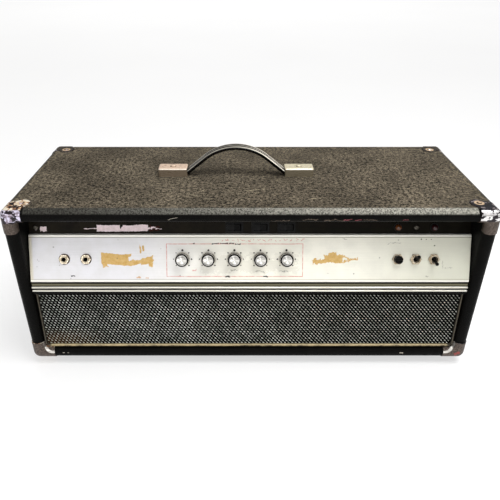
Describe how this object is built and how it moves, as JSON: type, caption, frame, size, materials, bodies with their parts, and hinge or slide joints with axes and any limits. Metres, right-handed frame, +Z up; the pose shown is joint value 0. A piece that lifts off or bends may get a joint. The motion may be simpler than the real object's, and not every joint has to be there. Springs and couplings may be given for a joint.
{
  "type": "guitar amplifier head",
  "caption": "Free-standing valve guitar amplifier head: covered wooden sleeve with chrome corners, leaning pale control panel, woven grille and arched strap handle.",
  "frame": {"origin": "centre of the footprint, on the plane that the rubber feet stand on", "axes": "+X to the right of a person facing the controls, the front faces -Y, +Z up"},
  "size_m": [0.675, 0.265, 0.3114],
  "materials": {
    "black_vinyl": "embossed black covering, dusty and scuffed",
    "plywood": "bare plywood and battens",
    "black_rubber": "matt",
    "zinc": "plated steel",
    "chrome": "bright plating, worn",
    "strap_plastic": "smooth black strap",
    "pale_panel": "satin silver white",
    "dark_strip": "black-brown, worn through in places",
    "chassis_steel": "dull plated sheet",
    "guard_steel": "black",
    "trim_aluminium": "bright beads on a grey base",
    "grille_cloth": "black weave with silver flecks",
    "cream_piping": "aged cream",
    "knob_metal": "spun cap on a fluted body",
    "can_aluminium": "plain",
    "black_plastic": "moulded",
    "amber_lens": "amber jewel",
    "red_lens": "dark red jewel",
    "brown_phenolic": "moulded phenolic",
    "board_phenolic": "phenolic sheet",
    "valve_glass": "clear glass bulbs on dark bases",
    "transformer_black": "laminated core and painted covers"
  },
  "bodies": {
    "cabinet": {"amber_lamp": "amber_lens", "battens": "plywood", "board_pillars": "zinc", "bottom_board": "plywood", "bottom_corners": "chrome", "chassis_bolts": "zinc", "chassis_tray": "chassis_steel", "choke": "transformer_black", "circuit_board": "board_phenolic", "control_panel": "pale_panel", "cord_gland": "black_plastic", "corner_screws": "chrome", "feet": "black_rubber", "filter_capacitors": "can_aluminium", "foot_screws": "zinc", "fuse_holder": "black_plastic", "grille_cloth": "grille_cloth", "grille_frame": "plywood", "grille_piping": "cream_piping", "handle_bolts": "chrome", "handle_caps": "chrome", "handle_strap": "strap_plastic", "input_jacks": "chrome", "lamp_bezels": "zinc", "left_side": "plywood", "output_transformer": "transformer_black", "output_valves": "valve_glass", "pan_screws": "zinc", "panel_nuts": "chrome", "panel_trim": "trim_aluminium", "pot_bodies": "zinc", "power_transformer": "transformer_black", "preamp_valves": "valve_glass", "rear_guard": "guard_steel", "red_lamp": "red_lens", "right_side": "plywood", "rocker_housings": "black_plastic", "speaker_jacks": "chrome", "toggle_bodies": "zinc", "top_board": "plywood", "top_corners": "chrome", "upper_strip": "dark_strip", "valve_sockets": "brown_phenolic", "vinyl_cover": "black_vinyl"},
    "knob_unit_1": {"knob_1": "knob_metal", "pot_shaft_1": "can_aluminium"},
    "knob_unit_2": {"knob_2": "knob_metal", "pot_shaft_2": "can_aluminium"},
    "knob_unit_3": {"knob_3": "knob_metal", "pot_shaft_3": "can_aluminium"},
    "knob_unit_4": {"knob_4": "knob_metal", "pot_shaft_4": "can_aluminium"},
    "knob_unit_5": {"knob_5": "knob_metal", "pot_shaft_5": "can_aluminium"},
    "rocker_unit_1": {"rocker_1": "black_plastic"},
    "rocker_unit_2": {"rocker_2": "black_plastic"},
    "rocker_unit_3": {"rocker_3": "black_plastic"},
    "toggle_unit_1": {"toggle_lever_1": "black_plastic"},
    "toggle_unit_2": {"toggle_lever_2": "black_plastic"},
    "fuse_cap_unit": {"fuse_cap": "black_plastic"}
  },
  "joints": [
    {"name": "knob_turn_1", "type": "hinge", "parent": "cabinet", "child": "knob_unit_1", "pos_m": [-0.0963, -0.11309, 0.18126], "axis": [0, -0.9232, 0.3843], "range_deg": [-150, 150]},
    {"name": "knob_turn_2", "type": "hinge", "parent": "cabinet", "child": "knob_unit_2", "pos_m": [-0.0592, -0.11309, 0.18126], "axis": [0, -0.9232, 0.3843], "range_deg": [-150, 150]},
    {"name": "knob_turn_3", "type": "hinge", "parent": "cabinet", "child": "knob_unit_3", "pos_m": [-0.0221, -0.11309, 0.18126], "axis": [0, -0.9232, 0.3843], "range_deg": [-150, 150]},
    {"name": "knob_turn_4", "type": "hinge", "parent": "cabinet", "child": "knob_unit_4", "pos_m": [0.015, -0.11309, 0.18126], "axis": [0, -0.9232, 0.3843], "range_deg": [-150, 150]},
    {"name": "knob_turn_5", "type": "hinge", "parent": "cabinet", "child": "knob_unit_5", "pos_m": [0.0521, -0.11309, 0.18126], "axis": [0, -0.9232, 0.3843], "range_deg": [-150, 150]},
    {"name": "rocker_tip_1", "type": "hinge", "parent": "cabinet", "child": "rocker_unit_1", "pos_m": [-0.0221, -0.09186, 0.2216], "axis": [0, 0.3843, 0.9232], "range_deg": [0, 18]},
    {"name": "rocker_tip_2", "type": "hinge", "parent": "cabinet", "child": "rocker_unit_2", "pos_m": [0.015, -0.09186, 0.2216], "axis": [0, 0.3843, 0.9232], "range_deg": [0, 18]},
    {"name": "rocker_tip_3", "type": "hinge", "parent": "cabinet", "child": "rocker_unit_3", "pos_m": [0.0521, -0.09186, 0.2216], "axis": [0, 0.3843, 0.9232], "range_deg": [0, 18]},
    {"name": "toggle_flip_1", "type": "hinge", "parent": "cabinet", "child": "toggle_unit_1", "pos_m": [0.2368, -0.11355, 0.18145], "axis": [1, 0, 0], "range_deg": [0, 40]},
    {"name": "toggle_flip_2", "type": "hinge", "parent": "cabinet", "child": "toggle_unit_2", "pos_m": [0.2626, -0.11355, 0.18145], "axis": [1, 0, 0], "range_deg": [-40, 0]},
    {"name": "fuse_cap_turn", "type": "hinge", "parent": "cabinet", "child": "fuse_cap_unit", "pos_m": [0.211, -0.11309, 0.18126], "axis": [0, -0.9232, 0.3843], "range_deg": [0, 90]}
  ]
}
